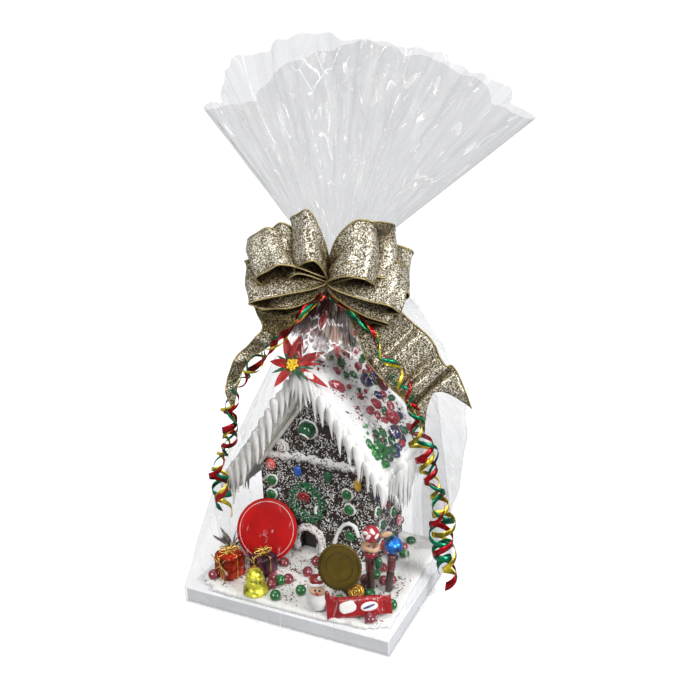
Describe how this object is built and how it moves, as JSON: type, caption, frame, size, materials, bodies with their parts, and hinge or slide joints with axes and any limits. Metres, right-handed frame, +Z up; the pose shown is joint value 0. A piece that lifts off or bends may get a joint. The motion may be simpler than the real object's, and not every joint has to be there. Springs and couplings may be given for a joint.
{
  "type": "gingerbread house",
  "caption": "Iced gingerbread house with sweets on a snowy board, in a clear gathered bag tied with a gold ribbon bow and curled ribbons",
  "frame": {"origin": "on the bag's flat underside, below the middle of the board", "axes": "+Z up, the house's front faces -Y, +X to the right of someone who faces the front"},
  "size_m": [0.3682, 0.2581, 0.6217],
  "materials": {
    "film": "clear film",
    "board": "satin",
    "snow": "matte",
    "icing": "satin",
    "gingerbread": "matte",
    "green_candy": "gloss",
    "red_candy": "gloss",
    "blue_candy": "gloss",
    "yellow_candy": "gloss",
    "purple_foil": "coloured foil",
    "red_foil": "coloured foil",
    "yellow_foil": "coloured foil",
    "gold_glitter": "glitter",
    "gold_curl": "metallic",
    "chocolate": "satin",
    "cream_candy": "matte",
    "white_candy": "satin",
    "dark_needles": "satin",
    "red_label": "gloss",
    "gold_seal": "metallic"
  },
  "bodies": {
    "root": {"bag": "film", "board": "board", "snow_base": "snow", "wall_front": "gingerbread", "wall_back": "gingerbread", "wall_left": "gingerbread", "wall_right": "gingerbread", "roof_left": "gingerbread", "roof_right": "gingerbread", "roof_icing": "icing", "gable_seal_left": "icing", "gable_seal_right": "icing", "eave_band": "icing", "door_icing": "icing", "side_arch": "icing", "gumdrop_green": "green_candy", "swirl_candy": "red_candy", "sugar_drop_red": "red_candy", "oval_blue": "blue_candy", "oval_green": "green_candy", "oval_yellow": "yellow_candy", "wall_button_1": "green_candy", "wall_button_2": "green_candy", "wall_button_3": "green_candy", "wall_button_4": "green_candy", "side_mint": "white_candy", "wreath": "green_candy", "poinsettia": "red_candy", "roof_ball_purple": "blue_candy", "roof_jelly_red": "red_candy", "roof_oval_brown": "chocolate", "roof_cherry": "red_candy", "roof_jelly_green": "green_candy", "roof_ball_navy": "blue_candy", "gift_red": "red_foil", "gift_purple": "purple_foil", "foil_bell": "yellow_foil", "pine_sprig": "dark_needles", "santa_sweet": "white_candy", "fudge_block": "chocolate", "coin_sweet": "yellow_foil", "candy_bar": "red_candy", "dipped_rod_left": "chocolate", "dipped_rod_right": "chocolate", "red_lozenge": "red_candy", "pretzel_ring": "cream_candy", "red_swirl_ball": "red_candy", "blue_ball": "blue_candy", "corner_oval_green": "green_candy", "bow": "gold_glitter", "round_label": "red_label", "gold_seal": "gold_seal", "curl_left_red": "red_candy", "curl_left_green": "green_candy", "curl_left_gold": "gold_curl", "curl_right_red": "red_candy", "curl_right_green": "green_candy", "curl_right_gold": "gold_curl"}
  },
  "joints": []
}
